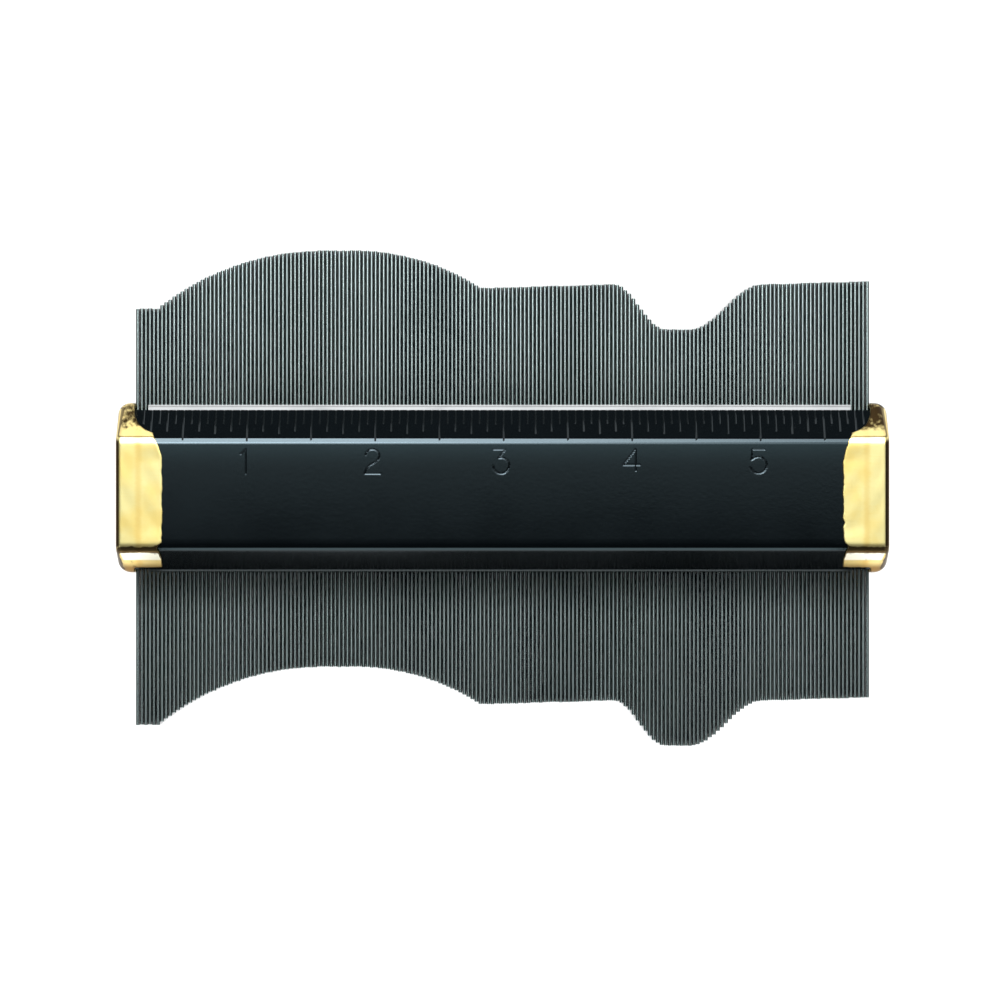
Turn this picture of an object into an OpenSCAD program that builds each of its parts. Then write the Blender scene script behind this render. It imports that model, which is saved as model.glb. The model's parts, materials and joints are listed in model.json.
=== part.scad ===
// Contour gauge. A single row of steel pins slides between two sprung friction strips, in a frame
// of two pressed channels with stamped caps over the ends. X runs along the frame and Y along the
// pins. The gauge lies on its back, with Z = 0 under the end caps and the rule facing up.

/* [Frame] */
// Length over the end caps
overall_length = 153; // [130:0.5:170]
// Thickness over the end caps
overall_thickness = 16; // [14:0.5:20]
// Height of the channels, measured along the pins
channel_height = 31.8; // [29:0.2:36]
// Sheet thickness of the channels
channel_sheet = 1; // [0.7:0.1:1.2]
// Outside radius of the bends in the channels
bend_radius = 2; // [1.5:0.1:2.6]
// Height of the bevel that carries the rule
rule_bevel = 6.2; // [5.4:0.1:7]
// Height of the plain bevel
plain_bevel = 4.3; // [3.8:0.1:5.2]

/* [End caps] */
// Sheet thickness of the caps
cap_sheet = 0.5; // [0.4:0.05:0.7]
// Length of the caps along the channels
cap_length = 9.2; // [8.6:0.1:12]
// Closed width between the end of the gauge and the slot
end_width = 3.4; // [3:0.1:4.5]
// Radius of the end edges over the flat faces
cap_edge_radius = 1.1; // [0.9:0.1:1.5]
// Radius of the corners at the slot on the rule side
crown_radius = 1.4; // [1:0.1:2.2]
// Radius of the corners at the slot on the plain side
heel_radius = 1.8; // [1:0.1:2.2]
// Spare room in the corners on the rule side
crown_room = 0.5; // [0:0.1:1]
// Radius of the scoop that clears the rule
scoop_radius = 4.6; // [4:0.1:5]
// Step between the scoop and the bulged edge
scoop_step = 0.8; // [0.4:0.1:1.5]
// Radius of the bulged edge beside the scoop
bulge_radius = 11; // [9:0.5:14]
// Angle through which the bulged edge turns
bulge_turn = 32; // [20:1:40]
// Radius of the relief in the flange at the plain bend
relief_radius = 1.2; // [0.8:0.1:1.6]
// How far the flange on the plain bevel is set back along the channels
flange_setback = 0.3; // [0:0.05:0.5]
// Bare height of the plain bevel under the flange
flange_foot = 0.5; // [0.3:0.1:1]
// Gap between the caps and the channels
cap_fit = 0.05; // [0.02:0.01:0.1]

/* [Friction unit] */
// Thickness of the friction strips
strip_thickness = 1.2; // [0.8:0.1:1.6]
// How far the strips show past the channels on the rule side
strip_show_rule = 0.95; // [0.4:0.05:1.2]
// How far the strips show past the channels on the plain side
strip_show_plain = 0.4; // [0.2:0.05:0.8]
// Distance from the end of the slot to the end of the strips
strip_inset = 3.25; // [1:0.25:8]
// Gap between the pins and each strip
strip_clearance = 0.05; // [0.03:0.01:0.1]
// Gap between the strips and the lips of the channels
lip_gap = 0.05; // [0.02:0.01:0.1]
// Thickness of the pressure bars
bar_thickness = 1.2; // [0.8:0.1:1.6]
// Gap between the pressure bars and the bevels
bar_side_gap = 0.4; // [0.2:0.1:1]
// Sheet thickness of the wave springs
spring_sheet = 0.4; // [0.3:0.05:0.5]
// Width of the wave springs
spring_width = 12; // [8:0.5:16]
// Distance from the end of the strips to the end of the springs
spring_inset = 6; // [2:0.5:15]
// Number of waves in each spring
spring_waves = 7; // [5:1:9]
// Gap above and below the springs
spring_gap = 0.03; // [0.02:0.01:0.1]
// Gap between the end blocks and the channels
block_fit = 0.05; // [0.03:0.01:0.1]

/* [Pins] */
// Diameter of a pin
pin_diameter = 0.76; // [0.6:0.01:1]
// Gap between neighbouring pins
pin_gap = 0.0425; // [0.03:0.0025:0.1]
// Length of a pin
pin_length = 83; // [70:0.5:100]
// Chamfer at the ends of a pin
pin_chamfer = 0.12; // [0.05:0.01:0.2]
// How far single pins stray from the outline
pin_stray = 0.07; // [0:0.01:0.3]

/* [Outline held by the pins] */
// Height of the low shelf at the left end
shelf_rise = -5.4; // [-8:0.05:0]
// Height of the crest of the hump
crest_rise = 6.15; // [4:0.05:10]
// Height of the flat at the foot of the hump
flat_rise = -1.3; // [-3:0.05:1]
// Height of the bottom of the hollow
hollow_rise = -9.55; // [-14:0.05:-6]
// Height of the flat past the hollow
end_rise = -0.55; // [-3:0.05:1]
// Slope of both flats, in degrees
flat_slope = 1.6; // [0:0.1:3]
// Number of pins on the shelf
shelf_pins = 5; // [3:1:10]
// Number of pins on the rising side of the hump
climb_pins = 41; // [36:1:48]
// Number of pins on the crest
crest_pins = 8; // [3:1:12]
// Number of pins on the falling side of the hump
fall_pins = 31; // [24:1:36]
// Number of pins on the flat between the hump and the hollow
flat_pins = 33; // [20:1:36]
// Number of pins on the falling side of the hollow
hollow_fall_pins = 13; // [8:1:18]
// Number of pins on the bottom of the hollow
hollow_floor_pins = 6; // [2:1:12]
// Number of pins on the rising side of the hollow
hollow_climb_pins = 18; // [8:1:24]

/* [Hidden] */
PIN_GROUPS = 46;
BEND_STEPS = 8;
ARC_STEPS = 12;
STRAY_SEED = 11;
MOST_PINS = 400;

half_length = overall_length / 2;
half_thickness = overall_thickness / 2;
channel_edge = channel_height / 2;
slot_end = half_length - end_width;
channel_end = half_length - max(crown_radius, heel_radius) - cap_fit;
block_end = half_length - cap_edge_radius - cap_fit;
strip_end = slot_end - strip_inset;

// Layers from the pins outwards, measured from the middle plane
strip_face = pin_diameter / 2 + strip_clearance;
strip_back = strip_face + strip_thickness;
bar_back = strip_back + bar_thickness;
lip_level = strip_back + lip_gap;
channel_face = half_thickness - cap_sheet - cap_fit;
channel_inside = channel_face - channel_sheet;

// The row of pins and the heights at which they stand
pin_pitch = pin_diameter + pin_gap;
pin_count = floor((2 * slot_end + pin_gap) / pin_pitch);
row_start = -(pin_count - 1) * pin_pitch / 2;
strays = rands(-pin_stray, pin_stray, MOST_PINS, STRAY_SEED);
hump_first = shelf_pins;
crest_first = hump_first + climb_pins;
crest_last = crest_first + crest_pins;
hump_last = crest_last + fall_pins;
hollow_first = hump_last + flat_pins;
floor_first = hollow_first + hollow_fall_pins;
floor_last = floor_first + hollow_floor_pins;
hollow_last = floor_last + hollow_climb_pins;
pin_rises = [for (i = [0 : pin_count - 1]) outline(i) + strays[i]];

// Shift that puts the middle of the footprint on the origin
footprint_shift = -(max(pin_rises) + min(pin_rises)) / 2;

// Outer faces of a channel, as lines [normal y, normal z, distance] in its cross-section
face_line = [0, 1, channel_face];
rule_line = bevel_line(1, rule_bevel);
plain_line = bevel_line(-1, plain_bevel);
rule_bend = meet(shifted(face_line, -bend_radius), shifted(rule_line, -bend_radius));
plain_bend = meet(shifted(face_line, -bend_radius), shifted(plain_line, -bend_radius));
rule_angle = atan2(rule_line[1], rule_line[0]);
plain_angle = atan2(plain_line[1], plain_line[0]);

// Outer faces of a cap, which lie over those of the channels
cap_offset = cap_fit + cap_sheet;
cap_bend_radius = bend_radius + cap_offset;
crown_line = [1, 0, channel_edge + cap_sheet + lip_room(crown_radius, rule_line) + crown_room];
heel_line = [-1, 0, channel_edge + cap_sheet + lip_room(heel_radius, plain_line)];

function group_name(g) = str("pins_", g < 10 ? "0" : "", g);
function group_first(g) = floor((g - 1) * pin_count / PIN_GROUPS);
function pin_x(i) = row_start + i * pin_pitch;

// The outline, pin by pin: a shelf, a hump of two arcs, a flat, a smooth hollow and another flat
function drop(pins, depth, i) =
    let (reach = pins * pin_pitch, d = i * pin_pitch, r = (reach * reach + depth * depth) / (2 * depth))
    r - sqrt(r * r - d * d);
function ease(t) = (1 - cos(180 * t)) / 2;
function between(a, b, t) = a + (b - a) * t;
function slope_rise(pins) = pins * pin_pitch * tan(flat_slope);
function outline(i) =
    i < hump_first ? shelf_rise
    : i < crest_first ? crest_rise - drop(climb_pins, crest_rise - shelf_rise, crest_first - i)
    : i < crest_last ? crest_rise
    : i < hump_last ? crest_rise - drop(fall_pins, crest_rise - flat_rise, i - crest_last)
    : i < hollow_first ? flat_rise + slope_rise(i - hump_last)
    : i < floor_first
        ? between(flat_rise + slope_rise(flat_pins), hollow_rise,
                  ease((i - hollow_first) / hollow_fall_pins))
    : i < floor_last ? hollow_rise
    : i < hollow_last ? between(hollow_rise, end_rise, ease((i - floor_last) / hollow_climb_pins))
    : end_rise + slope_rise(i - hollow_last);

// Lines in a cross-section
function bevel_line(side, bevel) =
    let (fall = channel_face - lip_level, n = [side * fall, bevel] / norm([fall, bevel]))
    [n[0], n[1], n[0] * side * channel_edge + n[1] * lip_level];
function shifted(line, by) = [line[0], line[1], line[2] + by];
function meet(a, b) =
    let (det = a[0] * b[1] - a[1] * b[0])
    [(a[2] * b[1] - a[1] * b[2]) / det, (a[0] * b[2] - a[2] * b[0]) / det];
function level(z) = [0, 1, z];
function arc(centre, r, from, to, steps) =
    [for (i = [0 : steps]) let (a = between(from, to, i / steps)) centre + r * [cos(a), sin(a)]];
function reversed(points) = [for (i = [len(points) - 1 : -1 : 0]) points[i]];
function flipped(points) = [for (p = points) [p[0], -p[1]]];

// Room that the lip of a channel needs in a corner of a cap
function lip_room(radius, bevel) =
    let (inner = radius - cap_sheet) inner - (inner - cap_fit) * abs(bevel[0]);

// A channel's section from the plain lip to the rule lip, set inwards from its outer faces
function channel_path(inset, lip) = concat(
    [meet(shifted(plain_line, -inset), level(lip))],
    arc(plain_bend, bend_radius - inset, plain_angle, 90, BEND_STEPS),
    arc(rule_bend, bend_radius - inset, 90, rule_angle, BEND_STEPS),
    [meet(shifted(rule_line, -inset), level(lip))]
);

// Raises a section drawn in the Y-Z plane along X
module along_x(from, to) {
    translate([from, 0, 0]) rotate([90, 0, 90]) linear_extrude(to - from) children();
}

module placed() {
    translate([0, footprint_shift, half_thickness]) children();
}

module to_rear() {
    mirror([0, 0, 1]) children();
}

module to_left() {
    mirror([1, 0, 0]) children();
}

// A pressed channel: a flat, two bends and two bevels of one sheet
module channel() {
    section = concat(channel_path(0, lip_level), reversed(channel_path(channel_sheet, lip_level)));
    color([0.07, 0.09, 0.11]) along_x(-channel_end, channel_end) polygon(section);
}

module friction_strip() {
    low = -channel_edge - strip_show_plain;
    high = channel_edge + strip_show_rule;
    color([0.9, 0.9, 0.86]) translate([-strip_end, low, strip_face])
        cube([2 * strip_end, high - low, strip_thickness]);
}

// A flat bar on the back of a strip, as wide as the bevels allow
module pressure_bar() {
    inset = channel_sheet + bar_side_gap;
    low = meet(shifted(plain_line, -inset), level(bar_back))[0];
    high = meet(shifted(rule_line, -inset), level(bar_back))[0];
    color([0.55, 0.56, 0.58]) translate([-strip_end, low, strip_back])
        cube([2 * strip_end, high - low, bar_thickness]);
}

// A waved band that pushes the bar away from the channel
module wave_spring() {
    steps = spring_waves * 2 * ARC_STEPS;
    middle = (bar_back + channel_inside) / 2;
    swing = (channel_inside - bar_back - spring_sheet) / 2 - spring_gap;
    reach = strip_end - spring_inset;
    wave = [for (i = [0 : steps])
        [between(-reach, reach, i / steps), middle + swing * cos(360 * spring_waves * i / steps)]];
    lift = [0, spring_sheet / 2];
    band = concat([for (p = wave) p + lift], reversed([for (p = wave) p - lift]));
    color([0.45, 0.46, 0.5]) translate([0, spring_width / 2, 0]) rotate([90, 0, 0])
        linear_extrude(spring_width) polygon(band);
}

// A block that fills the ends of both channels and closes the slot
module right_end_block() {
    inset = channel_sheet + block_fit;
    foot = lip_level - block_fit;
    half = channel_path(inset, foot);
    color([0.5, 0.5, 0.52]) along_x(slot_end, block_end)
        polygon(concat(half, reversed(flipped(half))));
}

// One rounded corner of a cap, with a round edge at the closed end
module cap_corner(centre, radius, edge, depth) {
    profile = concat([[0, 0]], arc([radius - edge, edge], edge, -90, 0, ARC_STEPS / 2),
                     [[radius, depth], [0, depth]]);
    translate([0, centre[0], centre[1]]) rotate([0, 90, 0]) rotate_extrude($fn = 32) polygon(profile);
}

// The drawn form of a cap, closed at X = 0 and set inwards by a sheet's thickness
module cap_form(inset, depth) {
    crown = meet(shifted(rule_line, cap_offset - crown_radius), shifted(crown_line, -crown_radius));
    heel = meet(shifted(plain_line, cap_offset - heel_radius), shifted(heel_line, -heel_radius));
    hull() for (up = [0, 1]) mirror([0, 0, up]) {
        for (bend = [rule_bend, plain_bend])
            cap_corner(bend, cap_bend_radius - inset, cap_edge_radius - inset, depth);
        cap_corner(crown, crown_radius - inset, crown_radius - inset, depth);
        cap_corner(heel, heel_radius - inset, heel_radius - inset, depth);
    }
}

// Front view of a cap: the closed end, the scoop, the bulged flange and its relief at the plain bend
module cap_outline() {
    far = 2 * channel_edge;
    scoop = [end_width + scoop_radius, channel_edge];
    bulge_top = scoop[1] - scoop_radius - scoop_step;
    bulge = [cap_length - bulge_radius, bulge_top - bulge_radius * sin(bulge_turn)];
    relief = [cap_length + relief_radius / 2, plain_bevel - channel_edge];
    relief_turn = acos((flange_setback + relief_radius / 2) / relief_radius);
    foot = flange_foot - channel_edge;
    heel = [end_width + flange_foot, -channel_edge];
    polygon(concat(
        [[-1, far], [-1, -far], [end_width, -far]],
        arc(heel, flange_foot, 180, 90, ARC_STEPS),
        [[cap_length - flange_setback, foot]],
        arc(relief, relief_radius, 180 + relief_turn, 120, ARC_STEPS),
        arc(bulge, bulge_radius, 0, bulge_turn, ARC_STEPS),
        arc(scoop, scoop_radius, 260, 180, ARC_STEPS),
        [[end_width, far]]
    ));
}

// A stamped cup over the ends of both channels, open along the slot
module right_end_cap() {
    color([0.83, 0.7, 0.38]) translate([half_length, 0, 0]) to_left() intersection() {
        difference() {
            cap_form(0, cap_length);
            translate([cap_sheet, 0, 0]) cap_form(cap_sheet, cap_length);
        }
        translate([0, 0, -overall_thickness]) linear_extrude(2 * overall_thickness) cap_outline();
    }
}

module pin() {
    radius = pin_diameter / 2;
    tip = radius - pin_chamfer;
    end = pin_length / 2;
    shoulder = end - pin_chamfer;
    rotate([-90, 0, 0]) rotate_extrude()
        polygon([[0, -end], [tip, -end], [radius, -shoulder], [radius, shoulder], [tip, end], [0, end]]);
}

module pin_group(g) {
    color([0.6, 0.62, 0.62]) for (i = [group_first(g) : group_first(g + 1) - 1])
        translate([pin_x(i), pin_rises[i], 0]) pin();
}

placed() channel();  // front_channel
placed() to_rear() channel();  // rear_channel
placed() friction_strip();  // front_friction_strip
placed() to_rear() friction_strip();  // rear_friction_strip
placed() pressure_bar();  // front_pressure_bar
placed() to_rear() pressure_bar();  // rear_pressure_bar
placed() wave_spring();  // front_wave_spring
placed() to_rear() wave_spring();  // rear_wave_spring
placed() to_left() right_end_block();  // left_end_block
placed() right_end_block();
placed() to_left() right_end_cap();  // left_end_cap
placed() right_end_cap();
for (g = [1 : PIN_GROUPS]) {
    placed() pin_group(g);
}
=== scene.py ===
"""Looks of a contour gauge: black pressings with a rule, brass caps, friction strips and a comb of pins."""

from __future__ import annotations

import json
import logging
import math
from abc import ABC, abstractmethod
from dataclasses import dataclass, field
from enum import Enum
from typing import Any

import bpy
import numpy as np
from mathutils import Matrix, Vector

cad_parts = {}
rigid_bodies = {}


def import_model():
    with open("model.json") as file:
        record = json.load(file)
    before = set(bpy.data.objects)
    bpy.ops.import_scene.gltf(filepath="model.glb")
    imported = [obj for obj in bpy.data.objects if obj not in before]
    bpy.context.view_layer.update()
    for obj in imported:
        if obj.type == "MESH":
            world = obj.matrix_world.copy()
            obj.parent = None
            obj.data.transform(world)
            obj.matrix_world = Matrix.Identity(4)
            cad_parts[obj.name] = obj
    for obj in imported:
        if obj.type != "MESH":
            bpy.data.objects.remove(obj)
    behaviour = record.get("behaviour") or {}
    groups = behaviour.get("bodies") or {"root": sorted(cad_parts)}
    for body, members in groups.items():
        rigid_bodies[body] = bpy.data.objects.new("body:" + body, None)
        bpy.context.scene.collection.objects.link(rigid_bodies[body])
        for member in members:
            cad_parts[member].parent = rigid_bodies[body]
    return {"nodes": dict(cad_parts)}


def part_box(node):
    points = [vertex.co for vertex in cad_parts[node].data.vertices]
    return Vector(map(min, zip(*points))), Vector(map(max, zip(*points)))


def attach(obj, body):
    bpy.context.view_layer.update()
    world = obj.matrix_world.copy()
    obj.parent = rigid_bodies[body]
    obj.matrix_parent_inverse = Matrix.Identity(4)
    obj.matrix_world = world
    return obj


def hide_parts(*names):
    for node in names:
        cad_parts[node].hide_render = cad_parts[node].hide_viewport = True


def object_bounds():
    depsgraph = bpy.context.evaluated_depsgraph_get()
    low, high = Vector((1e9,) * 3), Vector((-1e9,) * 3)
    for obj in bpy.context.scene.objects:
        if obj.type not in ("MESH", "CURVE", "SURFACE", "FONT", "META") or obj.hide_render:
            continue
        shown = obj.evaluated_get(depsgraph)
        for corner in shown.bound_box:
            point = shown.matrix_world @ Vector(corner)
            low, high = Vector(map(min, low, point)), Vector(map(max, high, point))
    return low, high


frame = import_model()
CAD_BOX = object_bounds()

LOG = logging.getLogger("contour_gauge")
MM = 0.001
BODY = "frame"
IMAGE_WIDTH_MM = 197.65
SENSOR_MM = 36.0
INCH = 25.4
HALF_LENGTH = 76.5
CREASE = 4.5
Triple = tuple[float, float, float]
Colour = Triple
Point = tuple[float, float]
COOL: Colour = (0.92, 0.97, 1.0)


class Face(Enum):
    """The two sides of the gauge: the front carries the rule."""

    FRONT = 1
    REAR = -1


class Hand(Enum):
    """The two ends of the gauge."""

    LEFT = -1
    RIGHT = 1


class Reach(Enum):
    """Pieces that a light falls on: how the words count, and the words in the pieces' names."""

    GAUGE = ("EXCLUDE", "floor")
    TRIM = ("EXCLUDE", "floor", "pins_", "pressing")
    BRIGHTWORK = ("EXCLUDE", "floor", "pressing")
    CHANNELS = ("INCLUDE", "pressing")
    CAPS = ("INCLUDE", "stamping")
    FLOOR = ("INCLUDE", "floor")

    def bind(self, light: bpy.types.Object) -> None:
        """Keeps a light to these pieces.

        Args:
            light: The light.
        """
        state, *words = self.value
        reached = bpy.data.collections.new(f"{light.name}_reach")
        for piece in bpy.data.objects:
            if any(word in piece.name for word in words):
                reached.objects.link(piece)
        for link in reached.collection_objects:
            link.light_linking.link_state = state
        light.light_linking.receiver_collection = reached


class Zone(Enum):
    """The stretches of a channel's cross-section."""

    PLAIN_BEVEL = 0
    PLAIN_BEND = 1
    FLAT = 2
    RULE_BEND = 3
    RULE_BEVEL = 4


Row = tuple[float, float, float, float, Zone]


class Sock:
    """A shader socket that takes part in Python expressions."""

    def __init__(self, tree: "Tree", socket: bpy.types.NodeSocket) -> None:
        """Keeps the socket and the tree it belongs to."""
        self.tree = tree
        self.socket = socket

    def _math(self, operation: str, first: Any, second: Any = 0.0) -> "Sock":
        """Adds one Math node on two values."""
        return self.tree.node("ShaderNodeMath", {"operation": operation}, {0: first, 1: second})

    def __add__(self, other: Any) -> "Sock":
        """Sum."""
        return self._math("ADD", self, other)

    def __radd__(self, other: Any) -> "Sock":
        """Sum with a number on the left."""
        return self._math("ADD", other, self)

    def __sub__(self, other: Any) -> "Sock":
        """Difference."""
        return self._math("SUBTRACT", self, other)

    def __rsub__(self, other: Any) -> "Sock":
        """Difference from a number on the left."""
        return self._math("SUBTRACT", other, self)

    def __mul__(self, other: Any) -> "Sock":
        """Product."""
        return self._math("MULTIPLY", self, other)

    def __rmul__(self, other: Any) -> "Sock":
        """Product with a number on the left."""
        return self._math("MULTIPLY", other, self)

    def __truediv__(self, other: Any) -> "Sock":
        """Quotient."""
        return self._math("DIVIDE", self, other)

    def __abs__(self) -> "Sock":
        """Size without sign."""
        return self._math("ABSOLUTE", self)

    def floor(self) -> "Sock":
        """Whole part."""
        return self._math("FLOOR", self)

    def ramp(self, low: float, high: float) -> "Sock":
        """Rises smoothly from 0 at low to 1 at high.

        Args:
            low: Value where the ramp starts.
            high: Value where the ramp ends.

        Returns:
            The ramped value.
        """
        settings = {"interpolation_type": "SMOOTHSTEP"}
        return self.tree.node("ShaderNodeMapRange", settings, {0: self, 1: low, 2: high})

    def over(self, stretch: Point) -> "Sock":
        """Rises smoothly from 0 to 1 over a stretch in mm."""
        return self.ramp(stretch[0] * MM, stretch[1] * MM)


class Tree:
    """The node tree of a material, a light or the air round the gauge."""

    def __init__(self, owner: bpy.types.Material | bpy.types.Light | bpy.types.World) -> None:
        """Empties the owner's tree and finds the place on the object.

        Args:
            owner: The material, light or air.
        """
        owner.use_nodes = True
        self.nodes = owner.node_tree.nodes
        self.links = owner.node_tree.links
        self.nodes.clear()
        self.place = self.node("ShaderNodeTexCoord", out="Object")

    def node(self, kind: str, settings: dict[str, Any] | None = None,
             sockets: dict[str | int, Any] | None = None, out: str | int = 0) -> Sock:
        """Adds a node.

        Args:
            kind: Blender's type name of the node.
            settings: Attributes that are set first.
            sockets: Values or links of the inputs, by name or place.
            out: The output that is handed back.

        Returns:
            The chosen output, or the first input of a node without outputs.
        """
        made = self.nodes.new(kind)
        for key, value in (settings or {}).items():
            setattr(made, key, value)
        for key, value in (sockets or {}).items():
            if isinstance(value, Sock):
                self.links.new(value.socket, made.inputs[key])
            else:
                made.inputs[key].default_value = value
        return Sock(self, made.outputs[out] if made.outputs else made.inputs[0])

    def split(self, vector: Sock) -> tuple[Sock, Sock, Sock]:
        """Takes a vector apart.

        Args:
            vector: The vector.

        Returns:
            Its X, Y and Z.
        """
        parts = self.node("ShaderNodeSeparateXYZ", None, {0: vector}).socket.node.outputs
        return Sock(self, parts[0]), Sock(self, parts[1]), Sock(self, parts[2])

    def stretched(self, scale: Triple) -> Sock:
        """The place on the object, stretched along each axis by scale."""
        return self.node("ShaderNodeVectorMath", {"operation": "MULTIPLY"}, {0: self.place, 1: scale})

    def noise(self, scale: float, detail: float = 3.0, vector: Sock | None = None) -> Sock:
        """A cloudy value from 0 to 1.

        Args:
            scale: Clouds per metre.
            detail: How many finer layers are added.
            vector: Where it is read, the place on the object by default.

        Returns:
            The value.
        """
        sockets = {"Vector": vector or self.place, "Scale": scale, "Detail": detail}
        return self.node("ShaderNodeTexNoise", None, sockets)

    def mixed(self, share: Sock, first: Sock | Colour, second: Sock | Colour) -> Sock:
        """Blends two colours.

        Args:
            share: 0 for the first, 1 for the second.
            first: One colour.
            second: The other colour.

        Returns:
            The blend.
        """
        ends = [c if isinstance(c, Sock) else (*c, 1.0) for c in (first, second)]
        return self.node("ShaderNodeMix", {"data_type": "RGBA"}, {0: share, 6: ends[0], 7: ends[1]}, 2)

    def dimmed(self, colour: Sock, value: Sock) -> Sock:
        """Multiplies a colour by a value."""
        return self.node("ShaderNodeVectorMath", {"operation": "SCALE"}, {0: colour, "Scale": value})

    def bump(self, height: Sock, depth: float, strength: float) -> Sock:
        """Turns a height into a normal.

        Args:
            height: Height from 0 to 1.
            depth: What a height of 1 means, in metres.
            strength: Share of the effect.

        Returns:
            The normal.
        """
        sockets = {"Height": height, "Distance": depth, "Strength": strength}
        return self.node("ShaderNodeBump", None, sockets)


class Finish(ABC):
    """A finish with one surface shader."""

    name: str

    def material(self) -> bpy.types.Material:
        """Makes the material.

        Returns:
            The material.
        """
        material = bpy.data.materials.new(self.name)
        tree = Tree(material)
        shader = tree.node("ShaderNodeBsdfPrincipled", None, self.surface(tree))
        tree.node("ShaderNodeOutputMaterial", None, {"Surface": shader})
        return material

    @abstractmethod
    def surface(self, tree: Tree) -> dict[str, Any]:
        """Gives the shader's inputs.

        Args:
            tree: The material's tree.

        Returns:
            Values or links by name.
        """


@dataclass(frozen=True)
class BlackLacquer(Finish):
    """Satin black stoving lacquer with a blue cast, thin where the marks are cut, with a painted sheen that
    pales the flat towards the rule bend.
    """

    name = "black_lacquer"
    middle: float
    low: Colour = (0.0008, 0.0012, 0.0015)
    # Painted sheen: the flat's colour next to the rule bend
    high: Colour = (0.0075, 0.0130, 0.0145)
    mark: Colour = (0.0008, 0.001, 0.0012)
    tick: Colour = (0.010, 0.0115, 0.012)
    speck: Colour = (0.10, 0.11, 0.12)
    # Stretch over which the painted sheen rises, in mm from the centre line
    sheen_rise: Point = (2.0, 11.0)
    rule_foot: Point = (8.8, 9.2)

    def surface(self, tree: Tree) -> dict[str, Any]:
        """Gives the shader's inputs.

        Args:
            tree: The material's tree.

        Returns:
            Values or links by name.
        """
        _, y, _ = tree.split(tree.place)
        _, ny, nz = tree.split(tree.node("ShaderNodeNewGeometry", None, None, "Normal"))
        level = abs(nz).ramp(0.90, 0.985)
        up = y - self.middle * MM
        # Painted sheen: the flat pales from the low colour to the high one towards the rule bend
        height = up.over(self.sheen_rise)
        cloud = tree.noise(90.0)
        base = tree.mixed(height * height * level, self.low, self.high)
        base = tree.dimmed(base, 0.8 + cloud * 0.4)
        dust = tree.noise(2600.0, 1.0).ramp(0.70, 0.80)
        base = tree.mixed(dust * 0.05, base, self.speck)
        trace = tree.node("ShaderNodeAttribute", {"attribute_name": "trace"}, None, "Fac")
        ruled = up.over(self.rule_foot)
        base = tree.mixed(trace, base, tree.mixed(ruled, self.mark, self.tick))
        peel = tree.noise(1400.0, 1.0)
        plain = (0 - ny).ramp(0.74, 0.79)
        return {
            "Base Color": base,
            "Roughness": 0.04 + level * 0.045 + cloud * 0.05 + trace * 0.03 + plain * 0.12,
            "Specular IOR Level": 0.5,
            "Specular Tint": (0.73, 0.91, 1.0, 1.0),
            "Metallic": trace * (1 - level) * (0.3 + ruled * 0.3),
            "Normal": tree.bump(peel, 0.00002, 0.12),
        }


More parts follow.
